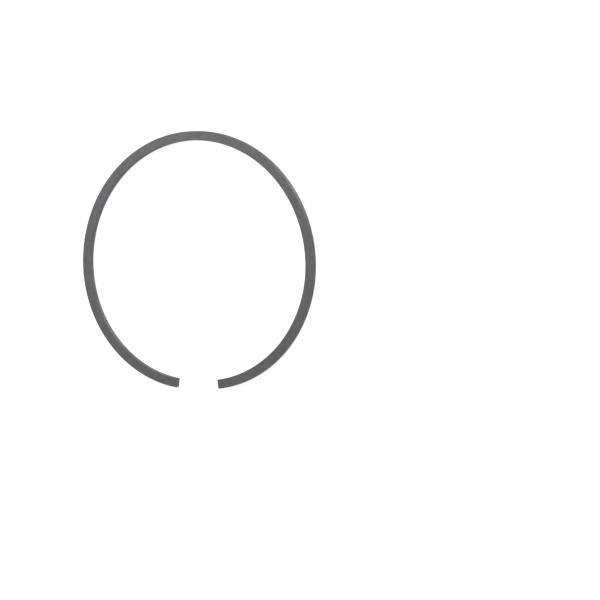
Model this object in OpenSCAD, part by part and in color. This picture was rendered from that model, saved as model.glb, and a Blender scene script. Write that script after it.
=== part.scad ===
// Piston ring: a plain compression ring, loose and open as it is before it is fitted.
// The ring lies flat on its lower side, with its gap towards -Y and its back towards +Y.
// The origin is on the cylinder's axis, at the centre of the back arc, on the lower side.

/* [Cylinder] */
// Bore of the cylinder that the ring runs in
cylinder_bore = 86; // [70:0.5:98]

/* [Section] */
// Width between the lower and the upper side
axial_width = 2; // [1.2:0.05:3]
// Wall between the inner face and the running face
radial_wall = 3.25; // [2.4:0.05:4]
// Rise of the crowned running face from its edges to its middle
face_crown = 0.015; // [0.005:0.005:0.04]
// Bevel along both edges of the running face
outer_bevel = 0.1; // [0.05:0.01:0.2]
// Bevel along both edges of the inner face
inner_bevel = 0.15; // [0.05:0.01:0.3]

/* [Gap] */
// Opening between the tips of the loose ring, along the middle of the wall
free_gap = 16.5; // [8:0.1:22]
// Gap between the tips once the ring is closed in its cylinder
closed_gap = 0.3; // [0.15:0.05:0.8]
// Bevel on the outer corner of each tip
tip_bevel = 0.1; // [0.05:0.05:0.4]

/* [Hidden] */
$fn = 360;

// How far a cut runs past what it cuts
overrun = 1;
// Step of the ring's drawing: the arcs' offset is a multiple of it, and the gap is met within it
drawing_step = 0.01;

// Radius of the middle of the wall, and half the length of that line, with the ring closed
closed_radius = (cylinder_bore - radial_wall) / 2;
half_length = PI * closed_radius - closed_gap / 2;

// A ring that presses evenly on its cylinder all round is made with the loose curvature
// (1 - share * (1 + cos(turn))) / closed_radius, where turn is counted from the back.
// The back arc takes the mean of that over the back half, and each side arc over its quarter.
mean_cosine_share = 2 / PI;
function back_radius(share) = closed_radius / (1 - share * (1 + mean_cosine_share));
function side_radius(share) = closed_radius / (1 - share * (1 - mean_cosine_share));

// Angle of a side arc, which takes the length that the back arc leaves
function side_angle(back, side) = (half_length - back * PI / 2) / side * 180 / PI;

// Opening between the tips for a pair of arc radii
function opening(back, side) = 2 * (back - side + side * cos(side_angle(back, side)));
function opening_at(share) = opening(back_radius(share), side_radius(share));

// The tips of an evenly pressing ring spring apart by about 3 * PI * share * closed_radius.
// That gives a first share, and each round corrects it until the free gap is met.
function settled(share) =
    abs(opening_at(share) - free_gap) < drawing_step
        ? share
        : settled(share * (free_gap - closed_gap) / (opening_at(share) - closed_gap));
spring_share = settled((free_gap - closed_gap) / (3 * PI * closed_radius));

// The arcs of the loose ring: the two side arcs meet the back arc tangent, at its widest
side_r = side_radius(spring_share);
side_offset = round((back_radius(spring_share) - side_r) / drawing_step) * drawing_step;
back_r = side_r + side_offset;
side_turn = side_angle(back_r, side_r);

// Radius of the crown, from its rise over the width of the ring
crown_radius = (pow(axial_width / 2, 2) + pow(face_crown, 2)) / (2 * face_crown);

// Section through the ring with the middle of its wall at x = 0: bevelled edges, crowned face
module section() {
    inner = -radial_wall / 2;
    outer = radial_wall / 2;
    intersection() {
        polygon([
            [inner, inner_bevel],
            [inner + inner_bevel, 0],
            [outer - outer_bevel, 0],
            [outer, outer_bevel],
            [outer, axial_width - outer_bevel],
            [outer - outer_bevel, axial_width],
            [inner + inner_bevel, axial_width],
            [inner, axial_width - inner_bevel]
        ]);
        translate([outer - crown_radius, axial_width / 2])
            circle(r = crown_radius);
    }
}

// The section swept along an arc about Z, from the +X axis through a turn in degrees
module arc(radius, turn) {
    rotate_extrude(angle = turn)
        translate([radius, 0])
            section();
}

// Wedge that bevels the outer corner of a tip, for a tip that ends on the +X axis
module tip_cut(radius) {
    corner = radius + radial_wall / 2;
    translate([0, 0, -overrun])
        linear_extrude(axial_width + 2 * overrun)
            polygon([
                [corner - tip_bevel - overrun, -overrun],
                [corner + overrun, -overrun],
                [corner + overrun, tip_bevel + overrun]
            ]);
}

// Side of the ring at +X, from its widest point round to its tip
module side() {
    translate([side_offset, 0, 0])
        difference() {
            arc(side_r, -side_turn);
            rotate([0, 0, -side_turn])
                tip_cut(side_r);
        }
}

module piston_ring() {
    color("dimgray")
        union() {
            arc(back_r, 180);
            side();
            mirror([1, 0, 0])
                side();
        }
}

piston_ring();
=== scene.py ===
import math

import bpy
import numpy as np
from mathutils import Matrix, Vector


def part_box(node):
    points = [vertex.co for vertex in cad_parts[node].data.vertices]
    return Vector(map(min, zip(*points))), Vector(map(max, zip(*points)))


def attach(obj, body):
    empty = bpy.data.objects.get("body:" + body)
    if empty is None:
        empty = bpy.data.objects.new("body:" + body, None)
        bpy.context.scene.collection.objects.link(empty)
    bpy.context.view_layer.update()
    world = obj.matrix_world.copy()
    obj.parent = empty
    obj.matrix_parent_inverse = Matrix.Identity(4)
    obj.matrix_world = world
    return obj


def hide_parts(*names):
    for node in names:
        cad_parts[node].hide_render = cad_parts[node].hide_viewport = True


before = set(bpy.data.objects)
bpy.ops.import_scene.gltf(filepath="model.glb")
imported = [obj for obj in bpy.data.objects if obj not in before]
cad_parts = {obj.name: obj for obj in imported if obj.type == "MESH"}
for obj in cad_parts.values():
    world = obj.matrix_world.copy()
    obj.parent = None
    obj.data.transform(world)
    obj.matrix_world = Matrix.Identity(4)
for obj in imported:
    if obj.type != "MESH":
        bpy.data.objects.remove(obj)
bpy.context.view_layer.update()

# Driving sizes of the ring, as on its drawing
CYLINDER_BORE = 0.086
RADIAL_WALL = 0.00325
FACE_CROWN = 0.000015
OUTER_BEVEL = 0.0001
INNER_BEVEL = 0.00015
FREE_GAP = 0.0165
CLOSED_GAP = 0.0003
TIP_BEVEL = 0.0001
DRAWING_STEP = 0.00001

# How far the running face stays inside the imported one, whose arcs are drawn with small flats
FACE_INSET = 0.000016

# How far each sharp edge is softened, and how finely the surface is divided
EDGE_ROUND = 0.00003
ROUND_STEPS = 4
RUN_STEPS = 8
STATION_PITCH = 0.00025
TIP_STATIONS = 10

# Angle between faces, in degrees, above which their shared edge is shaded as a sharp one
SHARP_ANGLE = 60

# Finishes of the ring, in the order of its material slots
SIDES, RUNNING, INNER, EDGES, TIPS = range(5)

# Colours, as linear values
COAT_GREY = (0.117, 0.118, 0.124)
RUNNING_GREY = (0.130, 0.131, 0.135)
INNER_GREY = (0.140, 0.141, 0.146)
BARE_GREY = (0.210, 0.211, 0.216)
FLOOR_GREY = (0.80, 0.80, 0.80)
WHITE = (1.0, 1.0, 1.0)

# Cooler and warmer tints that the coat drifts between
COOL_TINT = np.array([0.955, 1.005, 1.030])
WARM_TINT = np.array([1.045, 0.995, 0.970])

# Sizes of the coat's patterns, in repeats a metre, from its widest clouds to its crystals
CLOUD_SCALE = 70.0
TINT_SCALE = 190.0
BLOTCH_SCALE = 420.0
GRAIN_SCALE = 5200.0

# Lines of the tools, in repeats a metre across them
GRINDING_SCALE = 9000.0
LAPPING_SCALE = 26000.0
TURNING_SCALE = 12000.0
DEBURRING_SCALE = 20000.0
PARTING_SCALE = 9000.0

# How many times longer than wide a line is, round the ring and up a tip
TURNING_STRETCH = 160
PARTING_STRETCH = 30

# Far centres that the two sets of grinding arcs turn about
GRINDING_CENTRES = ((0.31, 0.12, 0.0), (-0.22, 0.27, 0.0))

# Middle range of a noise, and what it becomes: shares of the tone, and roughness
NOISE_LOW = 0.3
NOISE_HIGH = 0.7
CLOUD_TONE = (0.93, 1.05)
BLOTCH_TONE = (-0.08, 0.08)
GRAIN_TONE = (-0.10, 0.10)
LINE_TONE = (-0.09, 0.09)
GRAIN_ROUGHNESS = (0.42, 0.56)
CLOUD_ROUGHNESS = (-0.03, 0.03)

# Product of blotch and line at which the coat starts to be rubbed thin, and is at its thinnest
RUB_START = 0.22
RUB_END = 0.40

# Relief of the grain and the lines
RELIEF_STRENGTH = 0.35
RELIEF_HEIGHT = 0.000006

# How metallic a coated face and a lined one look, and how gloss spreads across the lines
COAT_METAL = 0.2
LINED_METAL = 0.7
LINED_SPREAD = 0.9
QUARTER_TURN = 0.25

# Numbers of a Mix node's sockets: its share, its two colours, and the colour that it gives
MIX_SHARE, MIX_FIRST, MIX_SECOND, MIX_RESULT = 0, 6, 7, 2

# Level of the light that the room gives, and what the floor adds to look white in the picture
ROOM_LEVEL = 0.27
FLOOR_GLOW = 0.784
FLOOR_REACH = 4.0
FLOOR_DROP = 0.00002

# Place, width and height, and power of the two softboxes, which face the ring's axis
BACK_SOFTBOX = ((-0.14, 0.16, 0.24), (0.20, 0.16), 0.47)
RIM_SOFTBOX = ((0.22, 0.245, 0.06), (0.16, 0.08), 0.46)

# Where the camera stands, the floor point that it looks at, and its roll in degrees
CAMERA_PLACE = (0.85939, 0.07305, 1.50516)
CAMERA_AIM = (0.03967, -0.01183, 0.0)
CAMERA_ROLL = -0.165

# Focal length and sensor width, in millimetres
LENS = 300.0
SENSOR = 36.0


def free_arcs():
    """Back radius, side radius, and half the length of the middle of the wall.

    An evenly pressing ring is made with the loose curvature
    (1 - share * (1 + cos(turn))) / closed radius, with turn counted from the back. The back arc
    takes its mean over the back half, and each side arc over its quarter. The share is the one
    that opens the tips by the free gap, and the arcs' offset is a multiple of the drawing step."""
    closed = (CYLINDER_BORE - RADIAL_WALL) / 2
    half_length = math.pi * closed - CLOSED_GAP / 2
    mean_cosine = 2 / math.pi

    def radii(share):
        back = closed / (1 - share * (1 + mean_cosine))
        side = closed / (1 - share * (1 - mean_cosine))
        return back, side

    def opening(share):
        back, side = radii(share)
        turn = (half_length - back * math.pi / 2) / side
        return 2 * (back - side + side * math.cos(turn))

    share = (FREE_GAP - CLOSED_GAP) / (3 * math.pi * closed)
    while abs(opening(share) - FREE_GAP) >= DRAWING_STEP:
        share *= (FREE_GAP - CLOSED_GAP) / (opening(share) - CLOSED_GAP)
    back, side = radii(share)
    return side + round((back - side) / DRAWING_STEP) * DRAWING_STEP, side, half_length


def wall_line(length, back, side):
    """Points and outward directions along the middle of the wall, at signed lengths from the back.

    Up to a quarter turn of the back arc, a point is at the back radius about the origin. Past it,
    it is at the side radius about a centre moved out by the two radii's difference. The sign of
    the length says which half of the ring the point is on."""
    quarter = back * math.pi / 2
    reach = np.abs(length)
    on_back = reach <= quarter
    turn = np.where(on_back, math.pi / 2 - reach / back, (quarter - reach) / side)
    radius = np.where(on_back, back, side)
    centre = np.where(on_back, 0.0, back - side)
    sign = np.where(length < 0, -1.0, 1.0)
    point = np.stack([sign * (centre + radius * np.cos(turn)), radius * np.sin(turn)], axis=1)
    outward = np.stack([sign * np.cos(turn), np.sin(turn)], axis=1)
    return point, outward


def softened(corners, finishes):
    """Closed outline with each corner softened, and the finish of each of its segments.

    Each corner becomes a quadratic curve from a point one softening length before it to a point
    one length after it, with the corner as its control. The runs between two curves are divided
    evenly. A run keeps the finish of its side, and a corner that of the edge beside it."""
    outline = []
    segment_finish = []
    t = np.linspace(0.0, 1.0, ROUND_STEPS + 1)[:, None]
    for i, corner in enumerate(corners):
        following = corners[(i + 1) % len(corners)]
        to_last = corners[i - 1] - corner
        to_next = following - corner
        start = corner + to_last / np.linalg.norm(to_last) * EDGE_ROUND
        end = corner + to_next / np.linalg.norm(to_next) * EDGE_ROUND
        run_end = following - to_next / np.linalg.norm(to_next) * EDGE_ROUND
        steps = 1 if finishes[i] == EDGES else RUN_STEPS
        s = np.linspace(0.0, 1.0, steps + 1)[1:-1, None]
        curve = (1 - t) ** 2 * start + 2 * t * (1 - t) * corner + t ** 2 * end
        outline += [curve, end + (run_end - end) * s]
        segment_finish += [EDGES] * ROUND_STEPS + [finishes[i]] * steps
    return np.concatenate(outline), np.array(segment_finish)


def section(width):
    """Section of the ring: across the wall from its middle outwards, and up from its lower side.

    Eight corners give the two sides, the running face, the inner face and their bevels. The
    crown then takes crown * (2 * up / width - 1) squared off the running face."""
    inner, outer = -RADIAL_WALL / 2, RADIAL_WALL / 2 - FACE_INSET
    corners = np.array([
        [inner, INNER_BEVEL],
        [inner + INNER_BEVEL, 0.0],
        [outer - OUTER_BEVEL, 0.0],
        [outer, OUTER_BEVEL],
        [outer, width - OUTER_BEVEL],
        [outer - OUTER_BEVEL, width],
        [inner + INNER_BEVEL, width],
        [inner, width - INNER_BEVEL],
    ])
    outline, finish = softened(corners, [EDGES, SIDES, EDGES, RUNNING, EDGES, SIDES, EDGES, INNER])
    drop = FACE_CROWN * (2 * outline[:, 1] / width - 1) ** 2
    outline[:, 0] = np.minimum(outline[:, 0], outer - drop)
    return outline, finish


def stations(half_length):
    """Signed lengths along the ring, evenly spaced, and closer together over the tip bevels.

    Over the last softening length they come nearer by the sine of an even turn."""
    body = np.arange(0.0, half_length - 2 * TIP_BEVEL, STATION_PITCH)
    bevel = half_length - np.linspace(2 * TIP_BEVEL, EDGE_ROUND, TIP_STATIONS)
    turn = np.linspace(0.0, math.pi / 2, ROUND_STEPS + 1)[1:]
    tip = half_length - EDGE_ROUND * (1 - np.sin(turn))
    half = np.concatenate([body, bevel, tip])
    return np.concatenate([-half[:0:-1], half])


def ring_surface(width):
    """Ring as a grid of two parameters: length along the wall, and place on the section.

    Each station carries the section, set across the wall along its outward direction. Near a tip
    the running face is cut back by the tip bevel less the length that is left. Over the last
    softening length all faces draw in along a quarter circle, the sides by a share of the height."""
    back, side, half_length = free_arcs()
    outline, finish = section(width)
    length = stations(half_length)
    point, outward = wall_line(length, back, side)
    left = half_length - np.abs(length)
    near = np.clip(1 - left / EDGE_ROUND, 0.0, 1.0)
    draw = EDGE_ROUND * (1 - np.sqrt(1 - near ** 2))
    inner = -RADIAL_WALL / 2 + draw
    outer = RADIAL_WALL / 2 - FACE_INSET - np.maximum(TIP_BEVEL - left, 0.0) - draw
    across = np.clip(outline[None, :, 0], inner[:, None], outer[:, None])
    middle = width / 2
    up = middle + (outline[None, :, 1] - middle) * (1 - draw / middle)[:, None]
    plan = point[:, None, :] + outward[:, None, :] * across[:, :, None]
    grid = np.concatenate([plan, up[:, :, None]], axis=2)
    return grid, length, outline, finish


def surface_lengths(length, outline):
    """UV places of all the mesh's corners: along the ring, and round its section, in metres.

    The fans at the tips take their places on the section itself."""
    rows, around = len(length), len(outline)
    steps = np.linalg.norm(np.roll(outline, -1, axis=0) - outline, axis=1)
    place = np.concatenate([[0.0], np.cumsum(steps)])
    v_low = np.tile(place[:-1], (rows - 1, 1))
    v_high = np.tile(place[1:], (rows - 1, 1))
    u_low = np.tile(length[:-1, None], (1, around))
    u_high = np.tile(length[1:, None], (1, around))
    quads = np.stack([u_low, v_low, u_low, v_high, u_high, v_high, u_high, v_low], axis=2)
    following = np.roll(outline, -1, axis=0)
    middle = np.tile(outline.mean(axis=0), (around, 1))
    first_fan = np.stack([middle, following, outline], axis=1)
    last_fan = np.stack([middle, outline, following], axis=1)
    return np.concatenate([quads.ravel(), first_fan.ravel(), last_fan.ravel()]).astype(np.float32)


def ring_mesh(name, width):
    """Mesh of the grid: quads along and round it, and at each tip a flat fan about its mean point."""
    grid, length, outline, finish = ring_surface(width)
    rows, around = grid.shape[:2]
    index = np.arange(rows * around).reshape(rows, around)
    turned = np.roll(index, -1, axis=1)
    quads = np.stack([index[:-1], turned[:-1], turned[1:], index[1:]], axis=2).reshape(-1, 4)
    middle = np.full(around, rows * around)
    first_fan = np.stack([middle, turned[0], index[0]], axis=1)
    last_fan = np.stack([middle + 1, index[-1], turned[-1]], axis=1)
    points = np.concatenate([grid.reshape(-1, 3), grid[[0, -1]].mean(axis=1)])
    mesh = bpy.data.meshes.new(name)
    mesh.from_pydata(points, [], quads.tolist() + first_fan.tolist() + last_fan.tolist())
    slots = np.concatenate([np.tile(finish, rows - 1), np.full(2 * around, TIPS)]).astype(np.int32)
    mesh.polygons.foreach_set("material_index", slots)
    mesh.polygons.foreach_set("use_smooth", slots != TIPS)
    uv = mesh.uv_layers.new(name="surface_length")
    uv.data.foreach_set("uv", surface_lengths(length, outline))
    mesh.set_sharp_from_angle(angle=math.radians(SHARP_ANGLE))
    mesh.update()
    return mesh


def node(tree, kind, inputs, **settings):
    """Adds a node, makes its settings, and sets or links its inputs by name or number."""
    made = tree.nodes.new(kind)
    for key, value in settings.items():
        setattr(made, key, value)
    for key, value in inputs.items():
        socket = made.inputs[key]
        if isinstance(value, bpy.types.NodeSocket):
            tree.links.new(value, socket)
        else:
            socket.default_value = value
    return made


def empty_material(name):
    """A new material with an empty tree."""
    material = bpy.data.materials.new(name)
    material.use_nodes = True
    material.node_tree.nodes.clear()
    return material, material.node_tree


def mapped(tree, value, low, high, to_low, to_high):
    """Value moved from one range to another, and held at its ends."""
    inputs = {"Value": value, "From Min": low, "From Max": high, "To Min": to_low, "To Max": to_high}
    return node(tree, "ShaderNodeMapRange", inputs).outputs[0]


def spread(tree, noise_value, ends):
    """The middle range of a noise moved to lie between two ends."""
    return mapped(tree, noise_value, NOISE_LOW, NOISE_HIGH, *ends)


def combined(tree, operation, first, second):
    """Result of one operation of arithmetic on two values."""
    return node(tree, "ShaderNodeMath", {0: first, 1: second}, operation=operation).outputs[0]


def blended(tree, share, first, second, blend="MIX"):
    """Colour of a share of the second colour laid over the first, in one way of blending."""
    inputs = {MIX_SHARE: share, MIX_FIRST: first, MIX_SECOND: second}
    made = node(tree, "ShaderNodeMix", inputs, data_type="RGBA", blend_type=blend)
    return made.outputs[MIX_RESULT]


def noise(tree, place, scale, detail, roughness):
    """Soft noise over a place in space, repeated scale times a metre."""
    inputs = {"Vector": place, "Scale": scale, "Detail": detail, "Roughness": roughness}
    return node(tree, "ShaderNodeTexNoise", inputs).outputs[0]


def stretched_noise(tree, place, scales, detail, roughness):
    """Noise over a place whose axes are first multiplied by a scale each."""
    inputs = {0: place, 1: scales}
    stretched = node(tree, "ShaderNodeVectorMath", inputs, operation="MULTIPLY").outputs[0]
    return noise(tree, stretched, scale=1.0, detail=detail, roughness=roughness)


def object_place(tree):
    """Place on the object, in its own coordinates."""
    return node(tree, "ShaderNodeTexCoord", {}).outputs["Object"]


def grinding_arcs(tree):
    """Two crossing sets of long shallow arcs, as a disc grinder leaves on a flat side.

    Each set is noise over the distance from a far centre, so it is lines about that centre. The
    pattern is their mean."""
    place = object_place(tree)
    sets = []
    for centre in GRINDING_CENTRES:
        reach = node(tree, "ShaderNodeVectorMath", {0: place, 1: centre}, operation="DISTANCE")
        inputs = {"W": reach.outputs["Value"], "Scale": GRINDING_SCALE, "Detail": 4.0, "Roughness": 0.7}
        sets.append(node(tree, "ShaderNodeTexNoise", inputs, noise_dimensions="1D").outputs[0])
    return combined(tree, "MULTIPLY", combined(tree, "ADD", *sets), 1 / len(sets))


def turning_lines(scale):
    """Lines round the ring, as noise stretched along it over its UV map."""
    def marks(tree):
        uv = node(tree, "ShaderNodeUVMap", {}, uv_map="surface_length").outputs[0]
        scales = (scale / TURNING_STRETCH, scale, scale)
        return stretched_noise(tree, uv, scales, detail=4.0, roughness=0.65)
    return marks


def parting_lines(tree):
    """Short straight lines up and down a cut tip, from the wheel that parts the ring."""
    scales = (PARTING_SCALE, PARTING_SCALE, PARTING_SCALE / PARTING_STRETCH)
    return stretched_noise(tree, object_place(tree), scales, detail=3.0, roughness=0.6)


def coated_iron(name, grey, marks, mark_depth, worn_share):
    """Dark phosphate coat over ground iron.

    The coat is clouded by soft noise at three sizes, and drifts between a cooler and a warmer
    tint. The tool marks under it show as fine lines in tone and relief, and a little bare iron
    shows where it is rubbed thin."""
    material, tree = empty_material(name)
    place = object_place(tree)
    cloud = noise(tree, place, CLOUD_SCALE, detail=3.0, roughness=0.5)
    tint = noise(tree, place, TINT_SCALE, detail=3.0, roughness=0.6)
    blotch = noise(tree, place, BLOTCH_SCALE, detail=4.0, roughness=0.6)
    grain = noise(tree, place, GRAIN_SCALE, detail=3.0, roughness=0.65)
    lines = marks(tree)

    tone = spread(tree, cloud, CLOUD_TONE)
    for pattern, ends in ((blotch, BLOTCH_TONE), (grain, GRAIN_TONE), (lines, LINE_TONE)):
        tone = combined(tree, "ADD", tone, spread(tree, pattern, ends))
    warmth = spread(tree, tint, (0.0, 1.0))
    drift = blended(tree, warmth, (*(grey * COOL_TINT), 1.0), (*(grey * WARM_TINT), 1.0))
    coat = blended(tree, 1.0, drift, tone, "MULTIPLY")
    rub = combined(tree, "MULTIPLY", blotch, lines)
    bare = mapped(tree, rub, RUB_START, RUB_END, 0.0, worn_share)

    rough = spread(tree, grain, GRAIN_ROUGHNESS)
    rough = combined(tree, "ADD", rough, spread(tree, cloud, CLOUD_ROUGHNESS))
    relief = combined(tree, "ADD", combined(tree, "MULTIPLY", lines, mark_depth), grain)
    bump = {"Strength": RELIEF_STRENGTH, "Distance": RELIEF_HEIGHT, "Height": relief}
    shader = node(tree, "ShaderNodeBsdfPrincipled", {
        "Base Color": blended(tree, bare, coat, (*BARE_GREY, 1.0)),
        "Roughness": rough,
        "Metallic": COAT_METAL,
        "Normal": node(tree, "ShaderNodeBump", bump).outputs[0],
    })
    node(tree, "ShaderNodeOutputMaterial", {"Surface": shader.outputs[0]})
    return material


def lined_iron(name, grey, scale, mark_depth, worn_share):
    """Coated iron with turning lines, whose gloss spreads across the lines.

    The tangent follows the length along the ring, and a quarter turn sets the spread across it."""
    material = coated_iron(name, grey, turning_lines(scale), mark_depth, worn_share)
    tree = material.node_tree
    tangent = node(tree, "ShaderNodeTangent", {}, direction_type="UV_MAP", uv_map="surface_length")
    shader = tree.nodes["Principled BSDF"]
    shader.inputs["Metallic"].default_value = LINED_METAL
    shader.inputs["Anisotropic"].default_value = LINED_SPREAD
    shader.inputs["Anisotropic Rotation"].default_value = QUARTER_TURN
    tree.links.new(tangent.outputs[0], shader.inputs["Tangent"])
    return material


def ground_sides():
    """Flat sides, ground in crossing arcs and evenly coated."""
    return coated_iron("ground_sides", COAT_GREY, grinding_arcs, mark_depth=0.8, worn_share=0.25)


def lapped_running_face():
    """Running face, lapped in a cylinder so that its coat is partly rubbed away."""
    return lined_iron("lapped_running_face", RUNNING_GREY, LAPPING_SCALE, mark_depth=1.2, worn_share=0.5)


def turned_inner_face():
    """Inner face, as turned, with the coarsest lines."""
    return lined_iron("turned_inner_face", INNER_GREY, TURNING_SCALE, mark_depth=1.6, worn_share=0.2)


def broken_edges():
    """Bevels and softened edges, brushed along the ring."""
    marks = turning_lines(DEBURRING_SCALE)
    return coated_iron("broken_edges", COAT_GREY, marks, mark_depth=0.8, worn_share=0.3)


def cut_tips():
    """End faces of the two tips, as parted."""
    return coated_iron("cut_tips", COAT_GREY, parting_lines, mark_depth=1.4, worn_share=0.4)


def make_ring():
    """The ring with its finishes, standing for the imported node."""
    low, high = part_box("piston_ring")
    ring = bpy.data.objects.new("dressed_ring", ring_mesh("dressed_ring", high.z - low.z))
    bpy.context.scene.collection.objects.link(ring)
    for finish in (ground_sides, lapped_running_face, turned_inner_face, broken_edges, cut_tips):
        ring.data.materials.append(finish())
    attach(ring, "root")
    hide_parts("piston_ring")


def seen_white(tree):
    """One for the rays that have to meet a white background, and nothing for the others."""
    path = node(tree, "ShaderNodeLightPath", {}).outputs
    seen = combined(tree, "MAXIMUM", path["Is Camera Ray"], path["Is Glossy Ray"])
    return combined(tree, "MAXIMUM", seen, path["Is Transmission Ray"])


def make_floor():
    """Pale flat floor, which keeps the ring's shadow and glows to look white in the picture."""
    corners = [(x * FLOOR_REACH, y * FLOOR_REACH, -FLOOR_DROP)
               for x, y in ((-1, -1), (1, -1), (1, 1), (-1, 1))]
    mesh = bpy.data.meshes.new("floor")
    mesh.from_pydata(corners, [], [(0, 1, 2, 3)])
    floor = bpy.data.objects.new("floor", mesh)
    bpy.context.scene.collection.objects.link(floor)
    material, tree = empty_material("pale_floor")
    base = node(tree, "ShaderNodeBsdfDiffuse", {"Color": (*FLOOR_GREY, 1.0)})
    level = combined(tree, "MULTIPLY", seen_white(tree), FLOOR_GLOW)
    glow = node(tree, "ShaderNodeEmission", {"Color": (*WHITE, 1.0), "Strength": level})
    both = node(tree, "ShaderNodeAddShader", {0: base.outputs[0], 1: glow.outputs[0]})
    node(tree, "ShaderNodeOutputMaterial", {"Surface": both.outputs[0]})
    mesh.materials.append(material)


def light_room():
    """Even light from the room, which looks white to the camera."""
    world = bpy.data.worlds.new("room")
    bpy.context.scene.world = world
    world.use_nodes = True
    tree = world.node_tree
    tree.nodes.clear()
    level = mapped(tree, seen_white(tree), 0.0, 1.0, ROOM_LEVEL, 1.0)
    room = node(tree, "ShaderNodeBackground", {"Color": (*WHITE, 1.0), "Strength": level})
    node(tree, "ShaderNodeOutputWorld", {"Surface": room.outputs[0]})


def softbox(name, place, size, power):
    """Rectangular area lamp at a place, facing the ring's axis at the floor."""
    lamp = bpy.data.lights.new(name, "AREA")
    lamp.shape = "RECTANGLE"
    lamp.size, lamp.size_y = size
    lamp.energy = power
    box = bpy.data.objects.new(name, lamp)
    bpy.context.scene.collection.objects.link(box)
    box.location = place
    box.rotation_euler = (-Vector(place)).to_track_quat("-Z", "Y").to_euler()


def place_camera():
    """Camera at its place, looking at its aim with the ring's back up, then rolled a little."""
    camera = bpy.data.objects.new("camera", bpy.data.cameras.new("camera"))
    bpy.context.scene.collection.objects.link(camera)
    camera.data.lens = LENS
    camera.data.sensor_width = SENSOR
    place = Vector(CAMERA_PLACE)
    backward = (place - Vector(CAMERA_AIM)).normalized()
    right = Vector((0.0, 1.0, 0.0)).cross(backward).normalized()
    up = backward.cross(right)
    turn = Matrix((right, up, backward)).transposed().to_4x4()
    roll = Matrix.Rotation(math.radians(CAMERA_ROLL), 4, "Z")
    camera.matrix_world = Matrix.Translation(place) @ turn @ roll
    bpy.context.scene.camera = camera


place_camera()
make_ring()
make_floor()
light_room()
softbox("back_softbox", *BACK_SOFTBOX)
softbox("rim_softbox", *RIM_SOFTBOX)
bpy.context.scene.view_settings.view_transform = "Standard"
